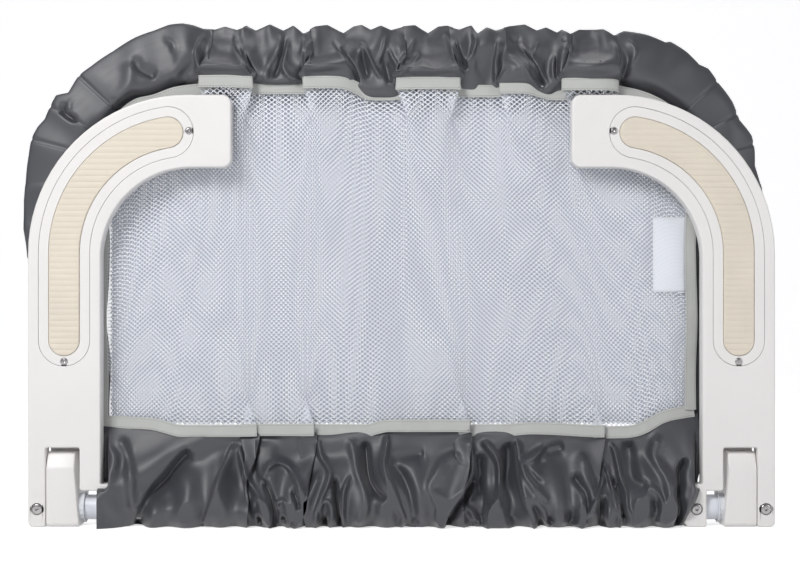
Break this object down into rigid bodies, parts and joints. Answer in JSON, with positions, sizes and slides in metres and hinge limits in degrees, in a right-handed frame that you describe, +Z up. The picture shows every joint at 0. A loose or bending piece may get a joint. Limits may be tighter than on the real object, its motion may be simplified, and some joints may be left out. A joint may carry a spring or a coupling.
{
  "type": "folding bed guard rail",
  "caption": "Bed guard rail folded flat: a telescoping tube fence in a gathered net cover, with hooked arms that swing down under the mattress.",
  "frame": {"origin": "under the middle of the folded rail, on the surface that it stands on", "axes": "+X along the rail to its right end, +Z up, and -Y towards the bed, the side that the arms swing to"},
  "size_m": [0.658, 0.0518, 0.4442],
  "materials": {
    "white_plastic": "moulded, slightly warm white, soft sheen",
    "cream_rubber": "moulded ribs, matte",
    "nylon": "natural nylon",
    "painted_tube": "white powder coat with a blue cast",
    "bright_steel": "zinc-plated",
    "grey_satin": "grey satin, gathered",
    "grey_tape": "light grey woven tape",
    "white_net": "fine knitted net",
    "label_cloth": "blank white label"
  },
  "bodies": {
    "centre": {"top_inner_tube": "painted_tube", "bottom_inner_tube": "painted_tube", "top_centre_sleeve": "grey_satin", "bottom_centre_sleeve": "grey_satin", "centre_net_panel": "white_net", "left_snap_spring": "bright_steel", "right_snap_spring": "bright_steel"},
    "left_side": {"left_upper_tube": "painted_tube", "left_upper_tube_collar": "nylon", "left_knuckle": "white_plastic", "left_knuckle_inner_bush": "nylon", "left_knuckle_outer_bush": "nylon", "left_tube_rivet": "bright_steel", "left_top_sleeve": "grey_satin", "left_skirt": "grey_satin", "left_net_panel": "white_net", "left_rear_net_panel": "white_net", "left_binding": "grey_tape"},
    "left_arm": {"left_arm_shell": "white_plastic", "left_arm_back_cover": "white_plastic", "left_grip_frame": "white_plastic", "left_grip_pad": "cream_rubber", "left_axle_tube": "painted_tube", "left_axle_collar": "nylon", "left_stop_key": "bright_steel", "left_axle_screw_outer": "bright_steel", "left_axle_screw_inner": "bright_steel", "left_grip_screw_lower": "bright_steel", "left_grip_screw_upper": "bright_steel"},
    "left_snap_button_body": {"left_snap_button": "bright_steel"},
    "right_side": {"right_upper_tube": "painted_tube", "right_upper_tube_collar": "nylon", "right_knuckle": "white_plastic", "right_knuckle_inner_bush": "nylon", "right_knuckle_outer_bush": "nylon", "right_tube_rivet": "bright_steel", "right_top_sleeve": "grey_satin", "right_skirt": "grey_satin", "right_net_panel": "white_net", "right_rear_net_panel": "white_net", "right_binding": "grey_tape", "care_label": "label_cloth"},
    "right_arm": {"right_arm_shell": "white_plastic", "right_arm_back_cover": "white_plastic", "right_grip_frame": "white_plastic", "right_grip_pad": "cream_rubber", "right_axle_tube": "painted_tube", "right_axle_collar": "nylon", "right_stop_key": "bright_steel", "right_axle_screw_outer": "bright_steel", "right_axle_screw_inner": "bright_steel", "right_grip_screw_lower": "bright_steel", "right_grip_screw_upper": "bright_steel"},
    "right_snap_button_body": {"right_snap_button": "bright_steel"}
  },
  "joints": [
    {"name": "left_extend", "type": "slide", "parent": "centre", "child": "left_side", "axis": [-1, 0, 0], "range_m": [0, 0.13]},
    {"name": "right_extend", "type": "slide", "parent": "centre", "child": "right_side", "axis": [1, 0, 0], "range_m": [0, 0.13]},
    {"name": "left_arm_fold", "type": "hinge", "parent": "left_side", "child": "left_arm", "pos_m": [-0.2972, -0.00695, 0.016], "axis": [1, 0, 0], "range_deg": [0, 90]},
    {"name": "right_arm_fold", "type": "hinge", "parent": "right_side", "child": "right_arm", "pos_m": [0.2972, -0.00695, 0.016], "axis": [1, 0, 0], "range_deg": [0, 90]},
    {"name": "left_snap_button_pop", "type": "slide", "parent": "centre", "child": "left_snap_button_body", "axis": [0, 1, 0], "range_m": [0, 0.0022], "deforming": ["left_snap_spring"]},
    {"name": "right_snap_button_pop", "type": "slide", "parent": "centre", "child": "right_snap_button_body", "axis": [0, 1, 0], "range_m": [0, 0.0022], "deforming": ["right_snap_spring"]}
  ]
}
